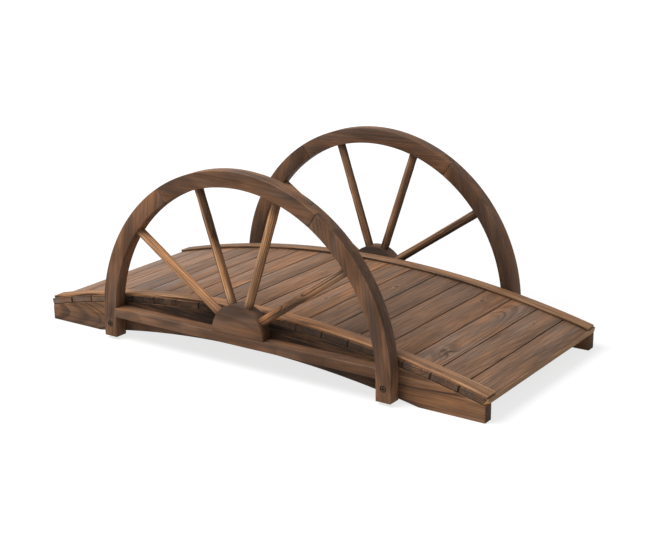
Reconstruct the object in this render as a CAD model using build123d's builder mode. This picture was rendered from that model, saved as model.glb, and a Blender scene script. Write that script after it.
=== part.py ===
from build123d import *
from math import asin, cos, degrees, hypot, radians, sin, sqrt, tan
import os

os.makedirs("parts", exist_ok=True)

# A small arched garden footbridge in torched fir, with a half wagon wheel as the railing on each side.
# Millimetres. +X runs along the walk, -Y is the front side, +Z is up.
# The origin is on the ground, at mid-span between the two railings.

# Stringers: two arched beams with flat feet, under the plank ends
stringer_length = 1300.0
stringer_depth = 75.0
stringer_thickness = 28.0
stringer_edge_ease = 1.5

# Deck: flat planks laid along the arch, each tangent to it at mid-width
deck_radius = 2650.0
deck_crown_height = 137.0
deck_end_overhang = 1.0
plank_count = 18
plank_length = 572.0
plank_thickness = 16.0
plank_gap = 2.0
plank_edge_ease = 1.0

# Curbs: thin strips bent over the plank ends
curb_width = 36.0
curb_thickness = 7.0
curb_end_setback = 5.0
curb_side_setback = 6.0
curb_edge_ease = 1.5

# Wheels: a rim of three half-lapped felloes, of which the outer two run down as legs
wheel_outer_radius = 431.0
wheel_centre_height = 56.0
felloe_width = 40.0
rail_depth = 36.0
leg_foot_height = 7.0
front_joint_angle = 57.3
back_joint_angle = 61.2
felloe_edge_ease = 1.5

# Lower bar between the legs, with the half-round hub on it
bar_bottom_height = 61.0
bar_height = 25.0
bar_edge_ease = 1.5
hub_radius = 77.0
hub_edge_ease = 2.0

# Spokes: round dowels with a thinner tenon at each end
spoke_angles = (145.5, 108.5, 71.5, 34.5)
spoke_diameter = 22.0
tenon_diameter = 12.0
tenon_length = 12.0

# Clearances
seat_clearance = 0.2
cut_overrun = 2.0

# Sizes that follow from these
side_face = plank_length / 2
seat_radius = deck_radius - plank_thickness
arch_radius = seat_radius - stringer_depth
arc_centre_height = deck_crown_height - deck_radius
deck_half_angle = asin((stringer_length / 2 + deck_end_overhang) / seat_radius)
plank_pitch_angle = 2 * deck_half_angle / plank_count
plank_width = 2 * seat_radius * tan(plank_pitch_angle / 2) - plank_gap
curb_inner_radius = hypot(deck_radius, plank_width / 2 - plank_edge_ease)
curb_half_angle = deck_half_angle - curb_end_setback / curb_inner_radius
wheel_inner_radius = wheel_outer_radius - felloe_width
hub_centre_height = bar_bottom_height + bar_height


def upright(y):
    """The plane across the bridge's side at y: local x is X, local y is Z, and it extrudes towards -Y."""
    return Plane.XZ.offset(-y)


def on_arc(radius, angle):
    """A point of the deck's concentric arcs, at an angle from the crown, as X and Z."""
    return (radius * sin(angle), arc_centre_height + radius * cos(angle))


def spoke_plane(angle, middle_y, reach):
    """The plane square to a spoke's axis, at a distance from the hub's centre."""
    along = (cos(radians(angle)), 0, sin(radians(angle)))
    origin = (reach * along[0], middle_y, hub_centre_height + reach * along[2])
    return Plane(origin=origin, x_dir=(0, 1, 0), z_dir=along)


def rim_reach(angle):
    """The distance from the hub's centre to the rim's inner face, along a spoke."""
    rise = hub_centre_height - wheel_centre_height
    across = rise * cos(radians(angle))
    return sqrt(wheel_inner_radius**2 - across**2) - rise * sin(radians(angle))


def export(piece, name):
    """Label a finished piece and write it."""
    piece.part.label = name
    export_step(piece.part, f"parts/{name}.step")


def stringer_outline():
    """An arched beam: concentric top and arch, flat feet and upright ends."""
    half = stringer_length / 2
    end_height = arc_centre_height + sqrt(seat_radius**2 - half**2)
    foot_inner = sqrt(arch_radius**2 - arc_centre_height**2)
    with BuildSketch() as outline:
        with BuildLine():
            ThreePointArc((-half, end_height), on_arc(seat_radius, 0), (half, end_height))
            Polyline((half, end_height), (half, 0), (foot_inner, 0))
            ThreePointArc((foot_inner, 0), on_arc(arch_radius, 0), (-foot_inner, 0))
            Polyline((-foot_inner, 0), (-half, 0), (-half, end_height))
        make_face()
    return outline.sketch


def curb_outline():
    """A strip along the deck's arc, with radial ends."""
    outer = curb_inner_radius + curb_thickness
    with BuildSketch() as outline:
        with BuildLine():
            ThreePointArc(
                on_arc(curb_inner_radius, -curb_half_angle),
                on_arc(curb_inner_radius, 0),
                on_arc(curb_inner_radius, curb_half_angle),
            )
            Line(on_arc(curb_inner_radius, curb_half_angle), on_arc(outer, curb_half_angle))
            ThreePointArc(
                on_arc(outer, curb_half_angle), on_arc(outer, 0), on_arc(outer, -curb_half_angle)
            )
            Line(on_arc(outer, -curb_half_angle), on_arc(curb_inner_radius, -curb_half_angle))
        make_face()
    return outline.sketch


def leg_outline(side, joint_angle):
    """An upright leg that runs on as the rim up to a joint, on the left (-1) or the right (+1)."""
    centre = (0, wheel_centre_height)
    start = 0 if side > 0 else 180
    with BuildSketch() as outline:
        with BuildLine():
            rim_out = CenterArc(centre, wheel_outer_radius, start, side * joint_angle)
            rim_in = CenterArc(centre, wheel_inner_radius, start, side * joint_angle)
            Line(rim_out @ 1, rim_in @ 1)
            Polyline(
                rim_out @ 0,
                (side * wheel_outer_radius, leg_foot_height),
                (side * wheel_inner_radius, leg_foot_height),
                rim_in @ 0,
            )
        make_face()
    return outline.sketch


def crown_outline(joint_angle):
    """The rim's top felloe, between two joints."""
    centre = (0, wheel_centre_height)
    sweep_angle = 180 - 2 * joint_angle
    with BuildSketch() as outline:
        with BuildLine():
            rim_out = CenterArc(centre, wheel_outer_radius, joint_angle, sweep_angle)
            rim_in = CenterArc(centre, wheel_inner_radius, joint_angle, sweep_angle)
            Line(rim_out @ 0, rim_in @ 0)
            Line(rim_out @ 1, rim_in @ 1)
        make_face()
    return outline.sketch


def wheel_inside_outline(clearance):
    """The space within the rim and the legs, less a clearance."""
    reach = wheel_inner_radius - clearance
    with BuildSketch() as outline:
        with BuildLine():
            over = CenterArc((0, wheel_centre_height), reach, 0, 180)
            Polyline(over @ 1, (-reach, leg_foot_height), (reach, leg_foot_height), over @ 0)
        make_face()
    return outline.sketch


def bore_for_tenons(angles, middle_y, reaches, inward):
    """Cut a bore for each spoke's tenon into the piece in hand, from the seat and away from the spoke."""
    depth = tenon_length + seat_clearance
    for angle, reach in zip(angles, reaches):
        start = reach - depth if inward else reach - cut_overrun
        with Locations(spoke_plane(angle, middle_y, start)):
            Cylinder(
                radius=tenon_diameter / 2 + seat_clearance,
                height=depth + cut_overrun,
                align=(Align.CENTER, Align.CENTER, Align.MIN),
                mode=Mode.SUBTRACT,
            )


def make_stringer(name, outer_y):
    """A stringer whose outer face is at outer_y, with its thickness towards the middle."""
    back_y = max(outer_y, outer_y - stringer_thickness * outer_y / abs(outer_y))
    with BuildPart() as stringer:
        with BuildSketch(upright(back_y)):
            add(stringer_outline())
        extrude(amount=stringer_thickness)
        long_edges = stringer.edges().filter_by(GeomType.CIRCLE).group_by(Axis.Z)[0]
        chamfer(long_edges, stringer_edge_ease)
    export(stringer, name)


def make_plank(name, angle):
    """A flat plank tangent to the stringers' tops, with its upper long edges eased."""
    seat_x, seat_z = on_arc(seat_radius, angle)
    seat = Plane(
        origin=(seat_x, 0, seat_z), x_dir=(cos(angle), 0, -sin(angle)), z_dir=(sin(angle), 0, cos(angle))
    )
    with BuildPart() as plank:
        with BuildSketch(seat):
            Rectangle(plank_width, plank_length)
        extrude(amount=plank_thickness)
        top_edges = plank.faces().sort_by(Axis.Z)[-1].edges().filter_by(Axis.Y)
        chamfer(top_edges, plank_edge_ease)
    export(plank, name)


def make_curb(name, back_y):
    """A curb over the plank ends, with its two upper long edges eased."""
    with BuildPart() as curb:
        with BuildSketch(upright(back_y)):
            add(curb_outline())
        extrude(amount=curb_width)
        top_edges = curb.edges().filter_by(GeomType.CIRCLE).group_by(Axis.Z)[-1]
        chamfer(top_edges, curb_edge_ease)
    export(curb, name)


def ease_rim(piece):
    """Ease the long edges of a felloe's front and back faces, but not its joints or foot."""
    sides = piece.faces().filter_by(Axis.Y).sort_by(Axis.Y)
    rim_edges = ShapeList()
    for face in (sides[0], sides[-1]):
        rim_edges += face.edges().filter_by(GeomType.CIRCLE)
        rim_edges += face.edges().filter_by(Axis.Z)
    chamfer(rim_edges, felloe_edge_ease)


def make_felloe(name, front_outline, back_outline, back_y, angles):
    """A felloe in two half depths that end at different joints, bored for the spokes that it holds."""
    half_depth = rail_depth / 2
    with BuildPart() as felloe:
        with BuildSketch(upright(back_y)):
            add(back_outline)
        extrude(amount=half_depth)
        with BuildSketch(upright(back_y - half_depth)):
            add(front_outline)
        extrude(amount=half_depth)
        ease_rim(felloe)
        bore_for_tenons(angles, back_y - half_depth, [rim_reach(angle) for angle in angles], False)
    export(felloe, name)


def make_bar(name, back_y):
    """The lower bar, with its ends shaped to the legs."""
    with BuildPart() as bar:
        with BuildSketch(upright(back_y)):
            with Locations((0, bar_bottom_height + bar_height / 2)):
                Rectangle(2 * wheel_outer_radius, bar_height)
            add(wheel_inside_outline(seat_clearance), mode=Mode.INTERSECT)
        extrude(amount=rail_depth)
        front = bar.faces().sort_by(Axis.Y)[0]
        chamfer(front.edges().filter_by(Axis.X), bar_edge_ease)
    export(bar, name)


def make_hub(name, back_y):
    """The half-round hub, bored for the spokes' tenons."""
    with BuildPart() as hub:
        with BuildSketch(upright(back_y)):
            with BuildLine():
                crown = CenterArc((0, hub_centre_height), hub_radius, 0, 180)
                Line(crown @ 0, crown @ 1)
            make_face()
        extrude(amount=rail_depth)
        chamfer(hub.edges().filter_by(GeomType.CIRCLE), hub_edge_ease)
        reaches = [hub_radius for angle in spoke_angles]
        bore_for_tenons(spoke_angles, back_y - rail_depth / 2, reaches, True)
    export(hub, name)


def make_spoke(name, angle, back_y):
    """A round spoke, shaped to the hub and the rim, with a tenon at each end."""
    middle_y = back_y - rail_depth / 2
    reach = rim_reach(angle)
    with BuildPart() as spoke:
        with BuildSketch(spoke_plane(angle, middle_y, hub_radius / 2)):
            Circle(spoke_diameter / 2)
        extrude(amount=reach)
        with BuildSketch(upright(back_y)):
            add(wheel_inside_outline(seat_clearance))
            with Locations((0, hub_centre_height)):
                Circle(hub_radius + seat_clearance, mode=Mode.SUBTRACT)
        extrude(amount=rail_depth, mode=Mode.INTERSECT)
        with BuildSketch(spoke_plane(angle, middle_y, hub_radius - tenon_length)):
            Circle(tenon_diameter / 2)
        extrude(amount=reach - hub_radius + 2 * tenon_length)
    export(spoke, name)


def make_railing(side_name, back_y):
    """One half wheel: three felloes, the lower bar, the hub and the spokes."""
    outer_left, inner_left, inner_right, outer_right = spoke_angles
    for leg_name, side, angle in (("left", -1, outer_left), ("right", 1, outer_right)):
        front = leg_outline(side, front_joint_angle)
        back = leg_outline(side, back_joint_angle)
        make_felloe(f"{side_name}_rail_{leg_name}_leg", front, back, back_y, (angle,))
    front = crown_outline(front_joint_angle)
    back = crown_outline(back_joint_angle)
    make_felloe(f"{side_name}_rail_crown", front, back, back_y, (inner_left, inner_right))
    make_bar(f"{side_name}_rail_lower_bar", back_y)
    make_hub(f"{side_name}_rail_hub", back_y)
    for number, angle in enumerate(spoke_angles, start=1):
        make_spoke(f"{side_name}_rail_spoke_{number}", angle, back_y)


make_stringer("front_stringer", -side_face)
make_stringer("rear_stringer", side_face)
for number in range(plank_count):
    make_plank(f"deck_plank_{number + 1:02d}", (number + 1 / 2) * plank_pitch_angle - deck_half_angle)
make_curb("front_curb", curb_width + curb_side_setback - side_face)
make_curb("rear_curb", side_face - curb_side_setback)
make_railing("front", -side_face)
make_railing("rear", side_face + rail_depth)
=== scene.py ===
"""Dresses the arched garden footbridge: torched fir boards, bent curbs, half-wheel railings and bolts."""
import random
from math import asin, atan2, cos, degrees, hypot, radians, sin, sqrt

import bmesh
import bpy
from mathutils import Matrix, Vector


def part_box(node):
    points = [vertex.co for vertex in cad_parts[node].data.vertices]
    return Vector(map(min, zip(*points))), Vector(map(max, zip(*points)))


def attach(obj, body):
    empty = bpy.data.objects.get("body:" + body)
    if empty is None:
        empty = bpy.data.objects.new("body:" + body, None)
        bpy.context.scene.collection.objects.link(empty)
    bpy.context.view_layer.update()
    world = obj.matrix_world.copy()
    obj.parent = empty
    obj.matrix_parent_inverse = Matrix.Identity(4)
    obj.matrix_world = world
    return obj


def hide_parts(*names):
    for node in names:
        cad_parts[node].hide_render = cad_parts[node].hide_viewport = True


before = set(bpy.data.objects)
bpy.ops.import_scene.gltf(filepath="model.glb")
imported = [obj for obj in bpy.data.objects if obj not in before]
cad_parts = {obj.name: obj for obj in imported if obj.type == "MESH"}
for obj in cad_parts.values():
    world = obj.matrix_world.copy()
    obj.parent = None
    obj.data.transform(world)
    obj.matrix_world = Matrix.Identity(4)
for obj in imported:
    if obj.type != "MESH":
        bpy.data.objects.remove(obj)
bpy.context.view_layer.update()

# Sizes that the frame's boxes don't give, in metres and degrees
stringer_depth = 0.075
stringer_spare_angle = 2
curb_thickness = 0.007
felloe_width = 0.040
front_joint_angle = 57.3
back_joint_angle = 61.2
spoke_angles = (145.5, 108.5, 71.5, 34.5)
spoke_sink = 0.0015
bar_sink = 0.0010

# Bolts through the railing legs
bolt_height = 0.0405
bolt_hole_radius = 0.0085
bolt_hole_depth = 0.0036
bolt_hole_margin = 0.006
bolt_hole_cuts = 7
bolt_head_radius = 0.0064
bolt_head_height = 0.0026
bolt_head_round = 0.0005
bolt_head_segments = 36
bolt_socket_radius = 0.0032
bolt_socket_depth = 0.0020
bolt_socket_sides = 6

# Rounded edges
board_round = 0.0012
curb_round = 0.0015
rail_round = 0.0018
hub_round = 0.0022
round_segments = 2
sharp_angle = 30
smooth_angle = 40

# Steps round the curved pieces, in degrees, and the parts of the round ones
deck_step_angle = 0.6
rim_step_angle = 2.0
hub_segments = 72
spoke_segments = 28
spoke_lengths = 12
spoke_girths = (0.97, 1.03)

# How near two places count as one, and how squarely a face looks along a direction
weld = 1e-6
touching = 1e-5
square_on = 0.99
face_on = 0.9
curb_end_on = 0.8
edge_on = 0.3

# Deck planks, counted from the left; from here on -1 stands for left of the crown and 1 for right of it
plank_short = (0.001, 0.004)
plank_side_play = 0.0006
gap_soot_width = 0.0025
plank_joint_soot = {-1: 0.8, 1: 0.0}
end_joint_soot = {-1: 1.0, 1: 0.8}
# Plank end faces: soot beyond the wheels; inside them, painted shade of the recess between curb and bar on
# top of it
end_soot_and_shade_in_wheel = {-1: 0.88, 1: 0.72}
end_soot_beyond = 0.3
# The last plank: a split corner in fresh wood, over-bright as a painted highlight, a lightened end face,
# and worn end edges
chip_length = 0.022
chip_slope = Vector((0.88, -0.32, -0.40)).normalized()
end_lightening = 1.42
edge_wear = 1.45
split_wear = 2.0
plank_looks = {
    1: dict(tone=1.26, grey=0.48),
    2: dict(tone=1.22, grey=0.52),
    3: dict(tone=1.24, grey=0.42),
    4: dict(tone=0.84, grey=0.38),
    5: dict(tone=1.02, grey=0.58),
    6: dict(tone=1.15),
    7: dict(tone=1.15, warm=0.35),
    8: dict(tone=0.95, grey=0.25),
    9: dict(tone=1.08, warm=0.15),
    10: dict(tone=1.13, warm=0.25),
    11: dict(tone=1.05, warm=0.30, knot=(-0.09, -0.010, 0.004)),
    12: dict(tone=0.75, grey=0.18, knot=(0.10, 0.004, 0.005)),
    13: dict(tone=0.64),
    14: dict(tone=0.66),
    15: dict(tone=0.80, warm=0.20, knot=(0.178, -0.010, 0.005)),
    16: dict(
        tone=0.95, warm=0.25, grey=0.20, figure=1.9, heart=(0.0, 0.020), lean=0.064, bow=0.20,
        knot=(-0.159, -0.002, 0.007),
    ),
    17: dict(tone=0.86, grey=0.10, knot=(0.16, -0.002, 0.003)),
    18: dict(tone=0.86, grey=0.12),
}

# Beams: painted shade on the seat under the planks and inside the wheels, where planks and bars shade them;
# soot beyond them and on the right end
beam_seat_shade = 1.0
beam_shade_in_wheel = {-1: 0.65, 1: 0.80}
beam_soot_beyond = {-1: 0.38, 1: 0.15}
beam_end_soot = 0.8
beam_look = dict(figure=1.6, heart=(0.045, 0.076), lean=0.057, bow=-0.057)

# Curbs
# Painted shade along both sides of the rear curb
curb_side_shade = 0.8
curb_looks = {
    "front": dict(warm=0.2, tone=1.03, figure=1.9),
    "rear": dict(tone=0.68, grey=0.25, figure=1.3),
}

# Railings as they were scorched
rear_rail_tone = 0.66
leg_tones = {"front": {-1: 0.92, 1: 1.03}, "rear": {-1: 0.92, 1: 1.04}}
leg_grain_lean = 10
joint_soot = {"front": {-1: 0.0, 1: 1.0}, "rear": {-1: 0.55, 1: 0.55}}
crown_tones = {"front": 0.90, "rear": 1.22}
crown_smoke = {"front": 0.50, "rear": 0.0}
hub_tone = 0.62
hub_warm = 0.15
bar_soot = {-1: 0.10, 1: 0.28}

# Smoke on the right legs, by the joint and by the foot: on their front face, and on their outer face
right_leg_smoke = {"front": ((0.30, 0.0), (0.64, 0.0)), "rear": ((0.0, 0.75), (0.0, 0.0))}
right_leg_smoke_reach = {"front": 0.16, "rear": 0.28}

# Spokes; how dark their lower or right edge is towards the hub and towards the rim, partly soot and partly
# painted shade on the side away from the lamp
# The way towards the camera; across it lies each spoke's lower or right edge as seen
camera_side = Vector((0.54, -0.79, 0.29))
shaded_edge_up = 0.5
spoke_edge_soot_and_shade = {"front": (0.65, 1.0), "rear": (0.85, 0.85)}
# Painted contact shade where each spoke meets the hub and the rim
spoke_seat_shade = 0.7
spoke_edge_change = 0.2
spoke_edge_fade = 0.25
spoke_grain = dict(heart=(0.0, 0.012), lean=0.012)
spoke_looks = {
    "front": {
        1: dict(tone=1.32, warm=0.10),
        2: dict(tone=1.18, warm=0.60, figure=1.3),
        3: dict(tone=1.15, warm=0.20, figure=1.4),
        4: dict(tone=1.05, warm=1.00, figure=1.8, knot=(-0.033, -0.003, 0.0045)),
    },
    "rear": {
        1: dict(tone=0.98),
        2: dict(tone=0.75, figure=1.5),
        3: dict(tone=0.66, figure=1.5),
        4: dict(tone=0.68, figure=1.5),
    },
}

# Black shares of each spoke's width: on its lower or right edge towards the rim, on the other edge, and on
# its lower or right edge towards the hub
# The lower or right edge, on the side away from the lamp, is partly soot and partly painted shade
spoke_scorch_and_shade = {
    "front": {1: (0.04, 0.0, 0.04), 2: (0.80, 0.0, 0.45), 3: (0.12, 0.0, 0.18), 4: (0.10, 0.10, 0.10)},
    "rear": {1: (0.20, 0.0, 0.20), 2: (0.30, 0.0, 0.30), 3: (0.30, 0.0, 0.30), 4: (0.42, 0.0, 0.42)},
}

# Dark bands right round a spoke: the middle and half length as shares of the spoke's length, and the
# darkness
spoke_dark_bands = {
    "front": {1: (0.10, 0.12, 0.25), 3: (0.95, 0.10, 0.60), 4: (0.34, 0.28, 0.75)},
    "rear": {2: (0.97, 0.14, 0.45), 3: (0.08, 0.20, 0.45)},
}

# First seeds of the grain
plank_seed = 100
leg_seed = 50
grain_seeds = {
    "front": dict(beam=21, curb=31, crown=41, bar=61, hub=71, spoke=80),
    "rear": dict(beam=22, curb=32, crown=42, bar=62, hub=72, spoke=90),
}

# Where a log's heart lies from its board unless the look says so: along, across and out
heart_along = (-0.3, 0.3)
heart_across = (0.05, 0.12)
heart_out = (0.03, 0.08)

# A board's own tone, how far apart the logs lie in the pattern, and the radius of a knot that isn't there
tone_play = (0.95, 1.05)
log_spacing = 1.7
least_knot = 1e-6

# Pattern of the fir: cells in a metre along, across and through the grain
sway_cells = (1.6, 7, 7)
fibre_cells = (11, 360, 360)
comb_cells = (4.5, 150, 150)
broad_cells = (3.0, 34, 34)
cloud_cells = (6.0, 30, 30)
haze_cells = (4.5, 30, 30)
smoke_cells = (7, 24, 24)
season_cells = 60
season_shift = 3.0
cloud_log, haze_log, smoke_log = 5.3, 9.1, 3.3
heart_sway = 0.022
knot_stretch = 2.4
knot_push = 1.8
relief = 0.0006

# Camera of the photograph
photo_width = 650
camera_place = Vector((1.9123, -2.7264, 1.1805))
camera_turn = 34.54
camera_tilt = -17.13
camera_roll = -0.55
camera_focal_pixels = 1362.2
sensor_width = 36.0

# Floor, room and lamp
floor_reach = 30
floor_fade_start, floor_fade_end = 0.8, 3.5
floor_near_glow = 0.76
floor_shadow_grey = (0.28, 0.28, 0.28, 1)
floor_bounce_grey = (0.55, 0.55, 0.55, 1)
room_light = 0.29
key_size = 3.0
key_power = 225
key_place = (-1.3, -1.7, 4.1)
key_aim = Vector((0, 0, 0.2))


def srgb(red, green, blue):
    """A colour written as it looks on a screen, from 0 to 255."""
    def linear(part):
        part /= 255
        return part / 12.92 if part <= 0.04045 else ((part + 0.055) / 1.055) ** 2.4
    return (linear(red), linear(green), linear(blue), 1.0)


# Colours of the scorch and of the bolts
line_brown = srgb(68, 46, 32)
# Char is also the colour of the painted shade
char_and_shade = srgb(39, 29, 23)
grey_bloom = srgb(112, 104, 100)
glow_orange = srgb(176, 118, 72)
rubbed = srgb(196, 148, 106)
# Fresh wood is over-bright, a painted highlight on faces the lamp leaves in shade
fresh_wood_and_highlight = srgb(252, 188, 124)
dark_steel = srgb(44, 37, 31)
scuffed_steel = srgb(92, 80, 70)

WALK, ACROSS, UP = Vector((1, 0, 0)), Vector((0, 1, 0)), Vector((0, 0, 1))


def middle(node):
    """The middle of a node's box."""
    low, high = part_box(node)
    return (low + high) / 2


def way_of(x):
    """-1 left of the crown and 1 right of it."""
    return 1 if x > 0 else -1


# The deck's arc, from the boxes of two planks
plank_names = sorted(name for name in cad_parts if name.startswith("deck_plank_"))
end_plank = middle(plank_names[0])
crown_plank = middle(plank_names[len(plank_names) // 2])
doubled_drop = 2 * (end_plank.z - crown_plank.z)
arc_centre_z = (end_plank.length_squared - crown_plank.length_squared) / doubled_drop
arc_centre = Vector((0, 0, arc_centre_z))
wheel_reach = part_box("front_rail_right_leg")[1].x


# Shaping

def closed_piece(bm, name, material, node=None):
    """Turn a finished bmesh into a piece on the bridge, in place of a CAD node if one is named."""
    bmesh.ops.recalc_face_normals(bm, faces=bm.faces)
    mesh = bpy.data.meshes.new(name)
    bm.to_mesh(mesh)
    bm.free()
    mesh.materials.append(material)
    mesh.shade_smooth()
    mesh.set_sharp_from_angle(angle=radians(smooth_angle))
    piece = bpy.data.objects.new(name, mesh)
    bpy.context.scene.collection.objects.link(piece)
    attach(piece, "root")
    if node:
        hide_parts(node)


def round_edges(bm, width):
    """Round the sharp edges and mark the new faces as worn."""
    worn = bm.faces.layers.float.get("worn") or bm.faces.layers.float.new("worn")
    joined = [edge for edge in bm.edges if edge.is_manifold]
    sharp = [edge for edge in joined if edge.calc_face_angle() > radians(sharp_angle)]
    made = bmesh.ops.bevel(
        bm, geom=sharp, offset=width, offset_type="OFFSET", affect="EDGES",
        segments=round_segments, profile=0.5, clamp_overlap=True, material=-1,
    )
    for face in made["faces"]:
        face[worn] = 1.0


def section(bm, low, high, columns=1):
    """A flat section across the walk between two corners, in columns from front to back."""
    made = bmesh.ops.create_grid(bm, x_segments=1, y_segments=columns, size=0.5)
    verts = made["verts"]
    size = high - low
    stand_up = Matrix(((0, 0, 1), (0, 1, 0), (1, 0, 0))).to_4x4()
    bmesh.ops.transform(bm, matrix=stand_up, verts=verts)
    bmesh.ops.scale(bm, vec=(1, size.y, size.z), verts=verts)
    bmesh.ops.translate(bm, vec=(low + high) / 2, verts=verts)
    return list(bm.faces)


def turn(bm, centre, clock_angle):
    """Turn the whole bmesh about the cross axis, clockwise as seen from the front."""
    bmesh.ops.rotate(bm, verts=bm.verts, cent=centre, matrix=Matrix.Rotation(radians(clock_angle), 3, "Y"))


def sweep(bm, faces, centre, clock_angle, step_angle):
    """Spin faces clockwise about the cross axis, and return the faces at the far end."""
    parts = set(faces)
    for face in faces:
        parts.update(face.edges, face.verts)
    made = bmesh.ops.spin(
        bm, geom=list(parts), cent=centre, axis=ACROSS, dvec=(0, 0, 0), angle=radians(clock_angle),
        steps=max(1, round(abs(clock_angle) / step_angle)), use_merge=False, use_duplicate=False,
    )
    return [part for part in made["geom_last"] if isinstance(part, bmesh.types.BMFace)]


def saw(bm, point, outward):
    """Saw off what lies outward of a plane and close the cut."""
    bmesh.ops.bisect_plane(
        bm, geom=bm.verts[:] + bm.edges[:] + bm.faces[:], dist=weld,
        plane_co=point, plane_no=outward, clear_outer=True, clear_inner=False,
    )
    bmesh.ops.holes_fill(bm, edges=[edge for edge in bm.edges if edge.is_boundary], sides=0)


def block(bm, size):
    """A straight board of a size, about the origin."""
    bmesh.ops.create_cube(bm, size=1)
    bmesh.ops.scale(bm, vec=size, verts=bm.verts)


# Grain

def lay_grain(
    bm, seed, place, tone=1.0, grey=0.0, warm=0.0, figure=1.0, heart=None, lean=0.06, bow=0.0,
    knot=(0, 0, 0),
):
    """Give each point its place in the log: along the grain, across it, and out from the heart.

    Heart is where the log's heart lies from the board's middle, across and out, and lean and bow say how it
    runs away from there. Figure says how bold the rings are. A knot has its place along and across, and a
    radius.
    """
    rng = random.Random(seed)
    along = rng.uniform(*heart_along)
    across = rng.choice((-1, 1)) * rng.uniform(*heart_across)
    shift = Vector((along, across, rng.uniform(*heart_out)))
    if heart:
        shift = Vector((0, *heart))
    own_tone = tone * rng.uniform(*tone_play)
    layers = {
        "board": lambda point: place(point) + shift,
        "heart": lambda point: (lean, bow, figure),
        "look": lambda point: (own_tone, grey, warm),
        "knot": lambda point: (knot[0] + shift.x, knot[1] + shift.y, max(knot[2], least_knot)),
    }
    log = bm.verts.layers.float.new("log")
    for vert in bm.verts:
        vert[log] = seed * log_spacing
    for name, value in layers.items():
        layer = bm.verts.layers.float_vector.new(name)
        for vert in bm.verts:
            vert[layer] = value(vert.co)


def mark(bm, test, amount):
    """Write an amount of wear on the faces that pass a test."""
    layer = bm.faces.layers.float.get("worn") or bm.faces.layers.float.new("worn")
    bm.normal_update()
    for face in bm.faces:
        if test(face):
            face[layer] = amount


def scorch_and_shade(bm, amount):
    """Write how dark each point is: real soot, and painted shade where a piece lies in shade."""
    layer = bm.verts.layers.float.get("soot_and_shade") or bm.verts.layers.float.new("soot_and_shade")
    for vert in bm.verts:
        vert[layer] = amount(vert.co)


def held(value):
    """A value held between 0 and 1."""
    return min(1.0, max(0.0, value))


def straight(along, across):
    """Grain of a straight board."""
    out = along.cross(across)
    return lambda point: Vector((point.dot(along), point.dot(across), point.dot(out)))


def bent(radius):
    """Grain that follows the deck's arc."""
    def place(point):
        arm = point - arc_centre
        return Vector((atan2(arm.x, arm.z) * radius, point.y, hypot(arm.x, arm.z) - radius))
    return place


# Nodes

def put(tree, kind, sockets=(), **settings):
    """Add a node, set it up, and link or set its inputs."""
    node = tree.nodes.new(kind)
    for name, value in settings.items():
        setattr(node, name, value)
    for key, value in dict(sockets).items():
        if isinstance(value, bpy.types.NodeSocket):
            tree.links.new(value, node.inputs[key])
        else:
            node.inputs[key].default_value = value
    return node


def maths(tree, operation, *values):
    """The result of a maths node."""
    return put(tree, "ShaderNodeMath", dict(enumerate(values)), operation=operation).outputs[0]


def mixed(tree, share, first, second):
    """Two colours mixed."""
    return put(tree, "ShaderNodeMix", {0: share, 6: first, 7: second}, data_type="RGBA").outputs[2]


def ramp(tree, value, start, end, low=0.0, high=1.0):
    """A value taken smoothly from one range to another."""
    sockets = {"Value": value, "From Min": start, "From Max": end, "To Min": low, "To Max": high}
    return put(tree, "ShaderNodeMapRange", sockets, interpolation_type="SMOOTHSTEP").outputs[0]


def noise(tree, vector, stretch, log, detail=2.0, roughness=0.5):
    """Noise with its own scale along, across and through the grain, different in each log."""
    stretched = put(tree, "ShaderNodeVectorMath", {0: vector, 1: stretch}, operation="MULTIPLY").outputs[0]
    sockets = {"Vector": stretched, "W": log, "Scale": 1.0, "Detail": detail, "Roughness": roughness}
    return put(tree, "ShaderNodeTexNoise", sockets, noise_dimensions="4D")


def split(tree, vector):
    """The three parts of a vector."""
    return put(tree, "ShaderNodeSeparateXYZ", {0: vector}).outputs[:]


def length(tree, first, second):
    """The length of a flat vector."""
    squares = maths(tree, "MULTIPLY_ADD", first, first, maths(tree, "MULTIPLY", second, second))
    return maths(tree, "SQRT", squares)


def empty_material(name):
    """A material with its output node and nothing else."""
    material = bpy.data.materials.new(name)
    material.use_nodes = True
    material.node_tree.nodes.clear()
    return material, put(material.node_tree, "ShaderNodeOutputMaterial")


def own(tree, name, part):
    """What one of the piece's own attributes says, as a vector or as a number."""
    return put(tree, "ShaderNodeAttribute", attribute_name=name).outputs[part]


def knot_in(tree, board):
    """The knot, longer along the grain, its pale halo, and how far it pushes the rings aside."""
    along, across, _ = split(tree, board)
    eye_along, eye_across, eye_radius = split(tree, own(tree, "knot", "Vector"))
    reach_along = maths(tree, "DIVIDE", maths(tree, "SUBTRACT", along, eye_along), knot_stretch)
    reach_across = maths(tree, "SUBTRACT", across, eye_across)
    reach = maths(tree, "DIVIDE", length(tree, reach_along, reach_across), eye_radius)
    knot = ramp(tree, reach, 1.0, 0.6)
    halo = maths(tree, "MULTIPLY", ramp(tree, reach, 0.8, 1.1), ramp(tree, reach, 1.6, 1.1))
    push = maths(tree, "MULTIPLY", ramp(tree, reach, 4.5, 0.6), eye_radius)
    return knot, halo, push


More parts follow.
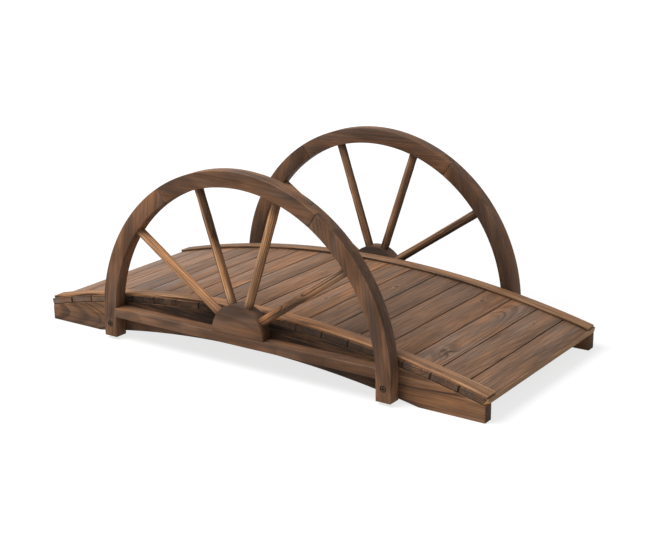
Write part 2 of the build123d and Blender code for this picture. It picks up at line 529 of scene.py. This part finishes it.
def late_wood_in(tree, board, log, lean, bow, push, ring_width, line_start):
    """The dark lines of the growth rings, about a heart that leans and bows away from the board."""
    along, across, out = split(tree, board)
    sway = split(tree, noise(tree, board, sway_cells, log).outputs[1])
    side = maths(tree, "MULTIPLY_ADD", sway[0], heart_sway, across)
    deep = maths(tree, "MULTIPLY_ADD", sway[1], heart_sway, out)
    deep = maths(tree, "MULTIPLY_ADD", lean, along, deep)
    deep = maths(tree, "MULTIPLY_ADD", bow, maths(tree, "MULTIPLY", along, along), deep)
    radius = maths(tree, "MULTIPLY_ADD", push, knot_push, length(tree, side, deep))
    age = maths(tree, "MULTIPLY", radius, season_cells)
    yearly = put(tree, "ShaderNodeCombineXYZ", {0: age, 1: log}).outputs[0]
    season = put(tree, "ShaderNodeTexNoise", {"Vector": yearly, "Scale": 1.0, "Detail": 2.0}).outputs[0]
    rings = maths(tree, "DIVIDE", radius, ring_width)
    year = maths(tree, "FRACT", maths(tree, "MULTIPLY_ADD", season, season_shift, rings))
    line = maths(tree, "MULTIPLY", ramp(tree, year, line_start, 0.88), ramp(tree, year, 1.0, 0.90))
    return maths(tree, "MULTIPLY", line, ramp(tree, season, 0.34, 0.62, 0.15, 1.0))


def char_and_shade_over(tree, colour, cloud, comb, knot, soot_and_shade_amount, char_share):
    """A colour with char over it in patches, in the knot, and where the soot-and-shade amount is high: real
    soot, and painted shade in recesses, under other parts and on the spokes' side away from the lamp.
    """
    patches = ramp(tree, cloud, 0.55, 0.78, 0.0, char_share)
    charred = maths(tree, "MAXIMUM", patches, maths(tree, "MULTIPLY", knot, 0.6))
    cover = maths(
        tree, "MULTIPLY", ramp(tree, cloud, 0.30, 0.58, 0.65, 1.0), ramp(tree, comb, 0.34, 0.60, 0.8, 1.1),
    )
    black = maths(tree, "MINIMUM", maths(tree, "MULTIPLY", soot_and_shade_amount, cover), 1.0)
    return mixed(tree, maths(tree, "MAXIMUM", charred, black), colour, char_and_shade)


def rub_over(tree, colour, cloud, edge, rub_share):
    """A colour with rubbed edges, and fresh wood, over-bright as a painted highlight, where they are worn
    right through.
    """
    thin = ramp(tree, cloud, 0.62, 0.38, 0.1, rub_share)
    rub = maths(tree, "MULTIPLY", maths(tree, "MINIMUM", edge, 1.0), thin)
    colour = mixed(tree, rub, colour, rubbed)
    return mixed(tree, ramp(tree, edge, 1.2, 1.9, 0.0, 0.85), colour, fresh_wood_and_highlight)


def brushed_wood(tree, colour, late_wood, fibre, comb, soot_and_shade_amount):
    """Dull wood of a colour, with its rings and fibres standing out."""
    height = maths(tree, "ADD", maths(tree, "MULTIPLY_ADD", late_wood, 0.7, fibre), comb)
    bump = put(tree, "ShaderNodeBump", {"Height": height, "Strength": 0.6, "Distance": relief}).outputs[0]
    rough = maths(tree, "MAXIMUM", ramp(tree, comb, 0.2, 0.8, 0.60, 0.76), soot_and_shade_amount)
    return put(tree, "ShaderNodeBsdfPrincipled", {
        "Base Color": colour, "Roughness": rough, "Normal": bump, "Specular IOR Level": 0.28,
    }).outputs[0]


def torched_fir(
    name, pale, brown, line_share=0.7, line_start=0.45, char_share=0.7, rub_share=0.12, ring_width=0.008,
    smoky=0.0, streaks=1.0, mottle=0.22,
):
    """Fir that was scorched and brushed: growth rings, fibres, char, grey bloom, knots and rubbed edges,
    with the char colour also laid on as painted shade where the soot-and-shade amount asks for it.

    Lines start at a share of each ring. Smoky says how patchy the scorch is, streaks how bold the fibres
    are, and mottle how much grey and orange there is on every board.
    """
    material, output = empty_material(name)
    tree = material.node_tree
    board = own(tree, "board", "Vector")
    log, edge, soot_and_shade_amount = (own(tree, one, "Fac") for one in ("log", "worn", "soot_and_shade"))
    lean, bow, figure = split(tree, own(tree, "heart", "Vector"))
    tone, grey, warm = split(tree, own(tree, "look", "Vector"))
    knot, halo, push = knot_in(tree, board)
    late_wood = late_wood_in(tree, board, log, lean, bow, push, ring_width, line_start)
    fibre = noise(tree, board, fibre_cells, log, 4, 0.65).outputs[0]
    comb = noise(tree, board, comb_cells, log, 4, 0.65).outputs[0]
    broad = noise(tree, board, broad_cells, log, 4, 0.6).outputs[0]
    cloud = noise(tree, board, cloud_cells, maths(tree, "ADD", log, cloud_log), 5, 0.7).outputs[0]
    haze = noise(tree, board, haze_cells, maths(tree, "ADD", log, haze_log), 4, 0.6).outputs[0]
    smoke = noise(tree, board, smoke_cells, maths(tree, "ADD", log, smoke_log), 2, 0.5).outputs[0]

    # Bare wood, a warm glow where the scorch is thin, grey bloom, ring lines and the knot's halo
    colour = mixed(tree, ramp(tree, broad, 0.30, 0.70), brown, pale)
    glow = maths(tree, "MULTIPLY", ramp(tree, haze, 0.62, 0.36), maths(tree, "ADD", warm, mottle))
    colour = mixed(tree, glow, colour, glow_orange)
    bloom = maths(tree, "MULTIPLY", ramp(tree, haze, 0.42, 0.66), maths(tree, "ADD", grey, mottle))
    colour = mixed(tree, bloom, colour, grey_bloom)
    lines = maths(tree, "MULTIPLY", late_wood, maths(tree, "MULTIPLY", figure, line_share))
    colour = mixed(tree, maths(tree, "MINIMUM", lines, 0.9), colour, line_brown)
    colour = mixed(tree, maths(tree, "MULTIPLY", halo, 0.3), colour, rubbed)

    colour = char_and_shade_over(tree, colour, cloud, comb, knot, soot_and_shade_amount, char_share)
    colour = rub_over(tree, colour, cloud, edge, rub_share)

    # Light and dark fibres, and smoke
    combed = ramp(tree, comb, 0.28, 0.72, 1 - 0.25 * streaks, 1 + 0.22 * streaks)
    fine = ramp(tree, fibre, 0.28, 0.72, 1 - 0.48 * streaks, 1 + 0.44 * streaks)
    light = maths(tree, "MULTIPLY", maths(tree, "MULTIPLY", combed, fine), tone)
    light = maths(tree, "MULTIPLY", light, ramp(tree, smoke, 0.40, 0.60, 1 - smoky, 1 + 0.7 * smoky))
    colour = put(tree, "ShaderNodeVectorMath", {0: colour, "Scale": light}, operation="SCALE").outputs[0]
    shader = brushed_wood(tree, colour, late_wood, fibre, comb, soot_and_shade_amount)
    tree.links.new(shader, output.inputs["Surface"])
    return material


def dull_steel(name):
    """Dark plated steel of the bolts."""
    material, output = empty_material(name)
    tree = material.node_tree
    place = put(tree, "ShaderNodeTexCoord").outputs["Object"]
    scuff = put(tree, "ShaderNodeTexNoise", {"Vector": place, "Scale": 900.0, "Detail": 3.0}).outputs[0]
    colour = mixed(tree, ramp(tree, scuff, 0.35, 0.65), dark_steel, scuffed_steel)
    shader = put(tree, "ShaderNodeBsdfPrincipled", {
        "Base Color": colour, "Metallic": 1.0, "Roughness": ramp(tree, scuff, 0.3, 0.7, 0.30, 0.5),
    })
    tree.links.new(shader.outputs[0], output.inputs["Surface"])
    return material


# Deck

def lay_plank(number, node, material):
    """One deck plank, square to the arc, a little short or long of its neighbours."""
    low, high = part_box(node)
    size, centre = high - low, middle(node)
    tilt = atan2(centre.x, centre.z - arc_centre_z)
    width = (size.x * cos(tilt) - size.z * abs(sin(tilt))) / cos(2 * tilt)
    thickness = (size.z * cos(tilt) - size.x * abs(sin(tilt))) / cos(2 * tilt)
    rng = random.Random(number)
    long = size.y - rng.uniform(*plank_short)
    bm = bmesh.new()
    block(bm, (width, long, thickness))
    round_edges(bm, board_round)
    ends = [face for face in bm.faces if abs(face.normal.y) > square_on]
    bmesh.ops.inset_individual(bm, faces=ends, thickness=gap_soot_width, depth=0)
    scorch_and_shade(bm, plank_soot_and_shade(centre.x, width, long))
    mark(bm, lambda face: all(abs(vert.co.y) > long / 2 - 2 * board_round for vert in face.verts), 0.0)
    if number == len(plank_names):
        chip_corner(bm, width, long, thickness)
    bmesh.ops.translate(bm, vec=(0, rng.uniform(-plank_side_play, plank_side_play), 0), verts=bm.verts)
    turn(bm, (0, 0, 0), degrees(tilt))
    bmesh.ops.translate(bm, vec=centre, verts=bm.verts)
    square = Vector((cos(tilt), 0, -sin(tilt)))
    board = straight(ACROSS, square)
    lay_grain(bm, plank_seed + number, lambda point: board(point - centre), **plank_looks[number])
    closed_piece(bm, f"plank_{number:02d}", material, node)


def plank_soot_and_shade(x, width, long):
    """How dark each point of the plank at x is: soot on its sides in the joints and on its end faces and
    their edges, with painted shade added on the end faces inside the wheels.
    """
    way = way_of(x)
    # Inside the wheels the end faces get painted shade on top of their soot
    end_soot_and_shade = end_soot_and_shade_in_wheel[way] if abs(x) < wheel_reach else end_soot_beyond

    def soot_and_shade(point):
        if abs(point.y) < long / 2 - board_round / 2:
            return plank_joint_soot[way] if abs(point.x) > width / 2 - board_round / 2 else 0.0
        return end_joint_soot[way] if abs(point.x) > width / 2 - gap_soot_width else end_soot_and_shade

    return soot_and_shade


def chip_corner(bm, width, long, thickness):
    """Split the front corner off the last plank, down to fresh wood made over-bright as a painted
    highlight, lighten its end face, and rub the edges along its end.
    """
    mark(bm, lambda face: face.normal.x > face_on, end_lightening)
    mark(bm, lambda face: face.normal.x > edge_on and face.normal.z > edge_on, edge_wear)
    mark(bm, lambda face: face.normal.x > edge_on and face.normal.z < -edge_on, split_wear)
    saw(bm, Vector((width / 2, chip_length - long / 2, -thickness / 2)), chip_slope)
    mark(bm, lambda face: face.normal.dot(chip_slope) > square_on, split_wear)


def saw_stringer(side, material, seat_radius):
    """One arched beam, swept along the deck's arc, with its feet and ends sawn."""
    low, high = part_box(f"{side}_stringer")
    reach = degrees(asin(high.x / (seat_radius - stringer_depth))) + stringer_spare_angle
    bm = bmesh.new()
    top = arc_centre_z + seat_radius
    faces = section(bm, Vector((0, low.y, top - stringer_depth)), Vector((0, high.y, top)))
    turn(bm, arc_centre, -reach)
    sweep(bm, faces, arc_centre, 2 * reach, deck_step_angle)
    saw(bm, low, -UP)
    saw(bm, high, WALK)
    saw(bm, low, -WALK)
    round_edges(bm, board_round)

    # Painted shade on the seat under the planks and inside the wheels; soot beyond them and on the right
    # end
    def soot_and_shade(point):
        if abs(point.x) < wheel_reach:
            return beam_seat_shade if on_seat(point, seat_radius) else beam_shade_in_wheel[way_of(point.x)]
        if point.x > high.x - board_round / 2:
            return beam_end_soot
        return beam_soot_beyond[way_of(point.x)]

    scorch_and_shade(bm, soot_and_shade)
    beam = straight(WALK, UP)
    seat = Vector((0, high.y, top - stringer_depth / 2))
    lay_grain(bm, grain_seeds[side]["beam"], lambda point: beam(point - seat), **beam_look)
    closed_piece(bm, f"stringer_{side}", material, f"{side}_stringer")


def on_seat(point, seat_radius):
    """Whether a point lies at the top of a beam, under the planks."""
    return hypot(point.x, point.z - arc_centre_z) > seat_radius - 2 * board_round


def bend_curb(side, material, deck_radius):
    """One thin strip, bent over the plank ends."""
    low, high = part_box(f"{side}_curb")
    top_radius = high.z - arc_centre_z
    reach = degrees(asin(high.x / top_radius))
    bm = bmesh.new()
    faces = section(bm, Vector((0, low.y, arc_centre_z + deck_radius)), Vector((0, high.y, high.z)))
    turn(bm, arc_centre, -reach)
    sweep(bm, faces, arc_centre, 2 * reach, deck_step_angle)
    round_edges(bm, curb_round)
    if side == "front":
        mark(bm, lambda face: face.normal.x > curb_end_on, 1.0)
    else:
        # The rear curb's sides get painted shade
        by_edge = curb_round / 4
        scorch_and_shade(bm, lambda p: curb_side_shade if min(p.y - low.y, high.y - p.y) < by_edge else 0.0)
    lay_grain(bm, grain_seeds[side]["curb"], bent(top_radius), **curb_looks[side])
    closed_piece(bm, f"curb_{side}", material, f"{side}_curb")


# Railings

class HalfWheel:
    """Where one railing's half wheel stands."""

    def __init__(self, side):
        foot_low, foot_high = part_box(f"{side}_rail_right_leg")
        crown_low, crown_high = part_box(f"{side}_rail_crown")
        hub_low, hub_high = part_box(f"{side}_rail_hub")
        self.side = side
        self.outward = -1 if side == "front" else 1
        self.front, self.back = crown_low.y, crown_high.y
        self.radius = foot_high.x
        self.foot = foot_low.z
        self.centre = Vector((0, (self.front + self.back) / 2, crown_high.z - self.radius))
        self.hub_centre = Vector((0, self.centre.y, hub_low.z))
        self.hub_radius = (hub_high.x - hub_low.x) / 2
        self.tone = 1.0 if side == "front" else rear_rail_tone

    def rim_section(self, bm, clock_angle):
        """The felloe's section in two halves, front and back, turned to a clock angle."""
        low = Vector((0, self.front, self.centre.z + self.radius - felloe_width))
        high = Vector((0, self.back, self.centre.z + self.radius))
        faces = section(bm, low, high, columns=2)
        turn(bm, self.centre, clock_angle)
        return faces


def front_half(faces):
    """Of the faces at one end, the one at the front."""
    return [min(faces, key=lambda face: face.calc_center_median().y)]


def back_half(faces):
    """Of the faces at one end, the one at the back."""
    return [max(faces, key=lambda face: face.calc_center_median().y)]


def shape_crown(wheel, material):
    """The top felloe, with a longer front half at both ends."""
    front_reach, back_reach = 90 - front_joint_angle, 90 - back_joint_angle
    bm = bmesh.new()
    faces = wheel.rim_section(bm, -back_reach)
    ends = sweep(bm, faces, wheel.centre, 2 * back_reach, rim_step_angle)
    starts = [face for face in bm.faces if is_end(face, wheel, -back_reach)]
    for group, way in ((ends, 1), (starts, -1)):
        sweep(bm, front_half(group), wheel.centre, way * (front_reach - back_reach), rim_step_angle)
    round_edges(bm, rail_round)
    blacken_joints(bm, wheel)
    tone = wheel.tone * crown_tones[wheel.side]
    lay_grain(bm, grain_seeds[wheel.side]["crown"], straight(WALK, UP), tone=tone)
    closed_piece(bm, f"rail_{wheel.side}_crown", material, f"{wheel.side}_rail_crown")


def blacken_joints(bm, wheel):
    """Soot in the joints between the felloes, with no rubbed edge, and smoke on the crown and right leg."""
    joint_reach = wheel.radius * cos(radians(front_joint_angle))

    def from_joint(point):
        tip = 90 - (front_joint_angle if point.y < wheel.centre.y else back_joint_angle)
        clock_angle = abs(degrees(atan2(point.x, point.z - wheel.centre.z)))
        return radians(abs(clock_angle - tip)) * wheel.radius

    def soot_and_shade(point):
        if from_joint(point) < rail_round / 2:
            return joint_soot[wheel.side][way_of(point.x)]
        arm = (point - wheel.centre).xz.length
        if point.x > joint_reach:
            face_smoke, outer_smoke = right_leg_smoke[wheel.side]
            by_joint, by_foot = outer_smoke if arm > wheel.radius - rail_round / 4 else face_smoke
            share = held((point.z - wheel.centre.z) / right_leg_smoke_reach[wheel.side])
            return by_foot + (by_joint - by_foot) * share
        smoke_edge = point.y < wheel.front + rail_round / 4 and arm > wheel.radius - felloe_width / 2
        return crown_smoke[wheel.side] if smoke_edge and point.x > -joint_reach else 0.0

    scorch_and_shade(bm, soot_and_shade)
    mark(bm, lambda face: all(from_joint(vert.co) < 2 * rail_round for vert in face.verts), 0.0)


def is_end(face, wheel, clock_angle):
    """Whether a face lies in the radial plane at a clock angle."""
    square = Vector((cos(radians(clock_angle)), 0, -sin(radians(clock_angle))))
    return all(abs((vert.co - wheel.centre).dot(square)) < touching for vert in face.verts)


def shape_leg(wheel, hand, way, material):
    """A side felloe that runs straight down to its foot, with a longer back half at the top."""
    bm = bmesh.new()
    faces = wheel.rim_section(bm, way * 90)
    ends = sweep(bm, faces, wheel.centre, -way * front_joint_angle, rim_step_angle)
    lap_angle = back_joint_angle - front_joint_angle
    sweep(bm, back_half(ends), wheel.centre, -way * lap_angle, rim_step_angle)
    springing = [face for face in bm.faces if is_end(face, wheel, way * 90)]
    made = bmesh.ops.extrude_face_region(bm, geom=springing)
    moved = [part for part in made["geom"] if isinstance(part, bmesh.types.BMVert)]
    bmesh.ops.translate(bm, vec=(0, 0, wheel.foot - wheel.centre.z), verts=moved)
    bmesh.ops.delete(bm, geom=[face for face in springing if face.is_valid], context="FACES_ONLY")

    # A cut as far below the bolt as the springing is above it, so that the bolt has a face of its own
    bmesh.ops.bisect_plane(
        bm, geom=bm.verts[:] + bm.edges[:] + bm.faces[:], dist=weld,
        plane_co=(0, 0, 2 * bolt_height - wheel.centre.z), plane_no=UP,
    )
    round_edges(bm, rail_round)
    blacken_joints(bm, wheel)
    sink_bolt_hole(bm, bolt_place(wheel, way), wheel.outward)
    grain = Vector((-way * sin(radians(leg_grain_lean)), 0, cos(radians(leg_grain_lean))))
    tone = wheel.tone * leg_tones[wheel.side][way]
    lay_grain(bm, leg_seed + 2 * way + wheel.outward, straight(grain, ACROSS.cross(grain)), tone=tone)
    node = f"{wheel.side}_rail_{hand}_leg"
    closed_piece(bm, f"rail_{wheel.side}_{hand}_leg", material, node)


def bolt_place(wheel, way):
    """Where a bolt enters the outer face of a leg."""
    face = wheel.front if wheel.outward < 0 else wheel.back
    return Vector((way * (wheel.radius - felloe_width / 2), face, bolt_height))


def sink_bolt_hole(bm, place, outward):
    """Sink a round hole into the flat face at a place."""
    flat = [face for face in bm.faces if abs(face.calc_center_median().y - place.y) < touching]
    face = min(flat, key=lambda one: (one.calc_center_median() - place).length)
    bmesh.ops.inset_individual(bm, faces=[face], thickness=bolt_hole_margin, depth=0)
    bmesh.ops.subdivide_edges(bm, edges=face.edges[:], cuts=bolt_hole_cuts, use_grid_fill=False)
    for vert in face.verts:
        arm = vert.co - place
        arm.y = 0
        vert.co = place + arm.normalized() * bolt_hole_radius
    made = bmesh.ops.extrude_discrete_faces(bm, faces=[face])
    bmesh.ops.translate(bm, vec=(0, -outward * bolt_hole_depth, 0), verts=made["faces"][0].verts[:])


def fit_bar(wheel, material):
    """The straight bar between the legs."""
    node = f"{wheel.side}_rail_lower_bar"
    low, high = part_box(node)
    size = high - low
    bm = bmesh.new()
    block(bm, (size.x + 2 * bar_sink, size.y, size.z))
    round_edges(bm, rail_round)
    bmesh.ops.translate(bm, vec=middle(node), verts=bm.verts)
    scorch_and_shade(bm, lambda point: bar_soot[way_of(point.x)])
    lay_grain(bm, grain_seeds[wheel.side]["bar"], straight(WALK, UP), tone=wheel.tone)
    closed_piece(bm, f"rail_{wheel.side}_bar", material, node)


def cut_hub(wheel, material):
    """The half disc on the bar."""
    bm = bmesh.new()
    bmesh.ops.create_circle(bm, cap_ends=True, segments=hub_segments, radius=wheel.hub_radius)
    bmesh.ops.rotate(bm, verts=bm.verts, cent=(0, 0, 0), matrix=Matrix.Rotation(radians(90), 3, "X"))
    bmesh.ops.bisect_plane(
        bm, geom=bm.verts[:] + bm.edges[:] + bm.faces[:], dist=weld,
        plane_co=(0, 0, 0), plane_no=-UP, clear_outer=True,
    )
    made = bmesh.ops.extrude_face_region(bm, geom=bm.faces[:])
    moved = [part for part in made["geom"] if isinstance(part, bmesh.types.BMVert)]
    bmesh.ops.translate(bm, vec=(0, wheel.back - wheel.front, 0), verts=moved)
    round_edges(bm, hub_round)
    mark(bm, lambda face: True, 0.0)
    bmesh.ops.translate(bm, vec=(0, wheel.front, wheel.hub_centre.z), verts=bm.verts)
    seed = grain_seeds[wheel.side]["hub"]
    lay_grain(bm, seed, straight(WALK, UP), tone=wheel.tone * hub_tone, warm=hub_warm)
    closed_piece(bm, f"rail_{wheel.side}_hub", material, f"{wheel.side}_rail_hub")


def shave_stick(radius, reach, rng):
    """A round stick up from the origin, shaved by hand and so never quite even."""
    bm = bmesh.new()
    ring = bmesh.ops.create_circle(bm, cap_ends=True, segments=spoke_segments, radius=radius)["verts"]
    girth = 1.0
    for _ in range(spoke_lengths):
        tip = [face for face in bm.faces if set(face.verts) == set(ring)]
        made = bmesh.ops.extrude_face_region(bm, geom=tip)
        ring = [part for part in made["geom"] if isinstance(part, bmesh.types.BMVert)]
        bmesh.ops.translate(bm, vec=(0, 0, reach / spoke_lengths), verts=ring)
        shaved = rng.uniform(*spoke_girths)
        bmesh.ops.scale(bm, vec=(shaved / girth, shaved / girth, 1), verts=ring)
        girth = shaved
    return bm


def spoke_soot_and_shade_from(side, number, waist, along, reach, radius):
    """How dark each point of a spoke is: its black edges, partly soot and partly painted shade on the edge
    away from the lamp, a dark band right round it, and painted contact shade at both its seats.
    """
    shaded_edge = along.cross(camera_side).normalized()
    if shaded_edge.z > shaded_edge_up:
        shaded_edge.negate()
    hub_darkness, rim_darkness = spoke_edge_soot_and_shade[side]
    by_rim, other, by_hub = spoke_scorch_and_shade[side][number]
    band_middle, band_reach, band_darkness = spoke_dark_bands[side].get(number, (0.0, 1.0, 0.0))

    def soot_and_shade(point):
        arm = point - waist
        share = 0.5 + arm.dot(along) / reach
        towards_rim = held(0.5 + (share - 0.5) / spoke_edge_change)
        lower = by_hub + (by_rim - by_hub) * towards_rim
        black = hub_darkness + (rim_darkness - hub_darkness) * towards_rim
        # Partly soot, partly painted shade on the lower or right edge
        side_reach = arm.dot(shaded_edge) / radius
        edge = max(side_reach - 1 + 2 * lower, -side_reach - 1 + 2 * other) / spoke_edge_fade
        band = band_darkness * held(2 - 2 * abs(share - band_middle) / band_reach)
        # Painted contact shade at both seats
        seat = spoke_seat_shade if min(share, 1 - share) < 0.5 / spoke_lengths else 0.0
        return max(black * held(edge), band, seat)

    return soot_and_shade


def fit_spoke(wheel, number, angle, material):
    """One round spoke from the hub to the rim."""
    node = f"{wheel.side}_rail_spoke_{number}"
    low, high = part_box(node)
    radius = (high.y - low.y) / 2
    along = Vector((cos(radians(angle)), 0, sin(radians(angle))))
    arm = wheel.hub_centre - wheel.centre
    lean = arm.dot(along)
    rim_reach = sqrt(lean**2 - arm.length_squared + (wheel.radius - felloe_width) ** 2) - lean
    start, end = wheel.hub_radius - spoke_sink, rim_reach + spoke_sink
    bm = shave_stick(radius, end - start, random.Random(f"{wheel.side} spoke {number}"))
    turn(bm, (0, 0, 0), 90 - angle)
    bmesh.ops.translate(bm, vec=wheel.hub_centre + along * start, verts=bm.verts)
    waist = wheel.hub_centre + along * (start + end) / 2
    scorch_and_shade(bm, spoke_soot_and_shade_from(wheel.side, number, waist, along, end - start, radius))
    stick = straight(along, ACROSS.cross(along))
    seed = grain_seeds[wheel.side]["spoke"] + number
    look = spoke_looks[wheel.side][number]
    lay_grain(bm, seed, lambda point: stick(point - waist), **spoke_grain, **look)
    closed_piece(bm, f"rail_{wheel.side}_spoke_{number}", material, node)


def drive_bolt(wheel, hand, way, material):
    """A socket-head bolt at the bottom of its hole."""
    bm = bmesh.new()
    bmesh.ops.create_cone(
        bm, cap_ends=True, segments=bolt_head_segments, radius1=bolt_head_radius, radius2=bolt_head_radius,
        depth=bolt_head_height,
    )
    round_edges(bm, bolt_head_round)
    top = max(bm.faces, key=lambda face: face.calc_center_median().z)
    rim = bolt_head_radius - bolt_head_round - bolt_socket_radius
    bmesh.ops.inset_individual(bm, faces=[top], thickness=rim, depth=0)
    side_angle = 360 / bolt_socket_sides
    flat_radius = bolt_socket_radius * cos(radians(side_angle / 2))
    for vert in top.verts:
        lean = degrees(atan2(vert.co.y, vert.co.x)) % side_angle - side_angle / 2
        vert.co.xy = vert.co.xy.normalized() * flat_radius / cos(radians(lean))
    made = bmesh.ops.extrude_discrete_faces(bm, faces=[top])
    bmesh.ops.translate(bm, vec=(0, 0, -bolt_socket_depth), verts=made["faces"][0].verts[:])
    face_out = Matrix.Rotation(radians(-90 * wheel.outward), 3, "X")
    bmesh.ops.rotate(bm, verts=bm.verts, cent=(0, 0, 0), matrix=face_out)
    depth = bolt_hole_depth - bolt_head_height / 2
    place = bolt_place(wheel, way) - Vector((0, wheel.outward * depth, 0))
    bmesh.ops.translate(bm, vec=place, verts=bm.verts)
    closed_piece(bm, f"bolt_{wheel.side}_{hand}", material)


def build_railing(side, rail_fir, spoke_fir, steel):
    """One half-wheel railing with its bolts."""
    wheel = HalfWheel(side)
    shape_crown(wheel, rail_fir)
    for hand, way in (("left", -1), ("right", 1)):
        shape_leg(wheel, hand, way, rail_fir)
        drive_bolt(wheel, hand, way, steel)
    fit_bar(wheel, rail_fir)
    cut_hub(wheel, rail_fir)
    for number, angle in enumerate(spoke_angles, 1):
        fit_spoke(wheel, number, angle, spoke_fir)


def build_deck(deck_fir, curb_fir, stringer_fir):
    """Beams, planks and curbs."""
    deck_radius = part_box("front_curb")[1].z - arc_centre_z - curb_thickness
    plank_thickness = 2 * (deck_radius - (crown_plank - arc_centre).length)
    for side in ("front", "rear"):
        saw_stringer(side, stringer_fir, deck_radius - plank_thickness)
        bend_curb(side, curb_fir, deck_radius)
    for number, node in enumerate(plank_names, 1):
        lay_plank(number, node, deck_fir)


# Studio

def seen_directly(tree):
    """One for rays from the camera, and for what shows in metal and glass."""
    path = put(tree, "ShaderNodeLightPath").outputs
    mirrored = maths(tree, "MAXIMUM", path["Is Glossy Ray"], path["Is Transmission Ray"])
    return maths(tree, "MAXIMUM", path["Is Camera Ray"], mirrored)


def white_floor():
    """A pale floor that keeps the shadow and fades to white."""
    bm = bmesh.new()
    bmesh.ops.create_grid(bm, x_segments=1, y_segments=1, size=floor_reach)
    mesh = bpy.data.meshes.new("floor")
    bm.to_mesh(mesh)
    bm.free()
    material, output = empty_material("floor_white")
    tree = material.node_tree
    place = put(tree, "ShaderNodeTexCoord").outputs["Object"]
    distance = put(tree, "ShaderNodeVectorMath", {0: place}, operation="LENGTH").outputs["Value"]
    strength = ramp(tree, distance, floor_fade_start, floor_fade_end, floor_near_glow, 1.0)
    glow = put(tree, "ShaderNodeEmission", {"Strength": strength}).outputs[0]
    shade = put(tree, "ShaderNodeBsdfDiffuse", {"Color": floor_shadow_grey}).outputs[0]
    seen = put(tree, "ShaderNodeAddShader", {0: shade, 1: glow}).outputs[0]
    unseen = put(tree, "ShaderNodeBsdfDiffuse", {"Color": floor_bounce_grey}).outputs[0]
    surface = put(tree, "ShaderNodeMixShader", {0: seen_directly(tree), 1: unseen, 2: seen}).outputs[0]
    tree.links.new(surface, output.inputs["Surface"])
    mesh.materials.append(material)
    floor = bpy.data.objects.new("floor", mesh)
    bpy.context.scene.collection.objects.link(floor)


def soft_light():
    """A big soft lamp from the upper left and a plain bright room."""
    world = bpy.data.worlds.new("white_room")
    world.use_nodes = True
    tree = world.node_tree
    tree.nodes.clear()
    levels = {"Value": seen_directly(tree), "To Min": room_light, "To Max": 1.0}
    strength = put(tree, "ShaderNodeMapRange", levels).outputs[0]
    room = put(tree, "ShaderNodeBackground", {"Color": (1, 1, 1, 1), "Strength": strength}).outputs[0]
    output = put(tree, "ShaderNodeOutputWorld")
    tree.links.new(room, output.inputs["Surface"])
    bpy.context.scene.world = world

    lamp = bpy.data.lights.new("key", "AREA")
    lamp.shape = "DISK"
    lamp.size = key_size
    lamp.energy = key_power
    key = bpy.data.objects.new("key", lamp)
    key.location = key_place
    key.rotation_euler = (key_aim - key.location).to_track_quat("-Z", "Y").to_euler()
    bpy.context.scene.collection.objects.link(key)


def set_camera():
    """The photograph's camera."""
    data = bpy.data.cameras.new("photo")
    data.sensor_fit = "HORIZONTAL"
    data.sensor_width = sensor_width
    data.lens = camera_focal_pixels * sensor_width / photo_width
    camera = bpy.data.objects.new("photo", data)
    camera.location = camera_place
    turned = Matrix.Rotation(radians(camera_turn), 3, "Z")
    look = turned @ Matrix.Rotation(radians(90 + camera_tilt), 3, "X")
    camera.rotation_euler = (look @ Matrix.Rotation(radians(camera_roll), 3, "Z")).to_euler()
    bpy.context.scene.collection.objects.link(camera)
    bpy.context.scene.camera = camera


rail_fir = torched_fir(
    "rail_fir", srgb(130, 93, 67), srgb(99, 69, 49),
    line_share=0.35, rub_share=0.10, smoky=0.34, streaks=0.42,
)
spoke_fir = torched_fir(
    "spoke_fir", srgb(196, 150, 108), srgb(154, 110, 76),
    line_share=1.0, line_start=0.60, ring_width=0.0045,
)
deck_fir = torched_fir(
    "deck_fir", srgb(141, 108, 84), srgb(110, 81, 60),
    line_share=0.4, rub_share=0.2, ring_width=0.006, smoky=0.06, streaks=0.85, mottle=0.12,
)
curb_fir = torched_fir(
    "curb_fir", srgb(194, 146, 106), srgb(146, 104, 72), line_share=0.6, rub_share=0.8, ring_width=0.006,
)
stringer_fir = torched_fir(
    "stringer_fir", srgb(158, 113, 78), srgb(124, 86, 58), line_share=0.55, ring_width=0.006, smoky=0.12,
)
steel = dull_steel("bolt_steel")

build_deck(deck_fir, curb_fir, stringer_fir)
for side in ("front", "rear"):
    build_railing(side, rail_fir, spoke_fir, steel)
white_floor()
soft_light()
set_camera()
bpy.context.scene.view_settings.view_transform = "Standard"
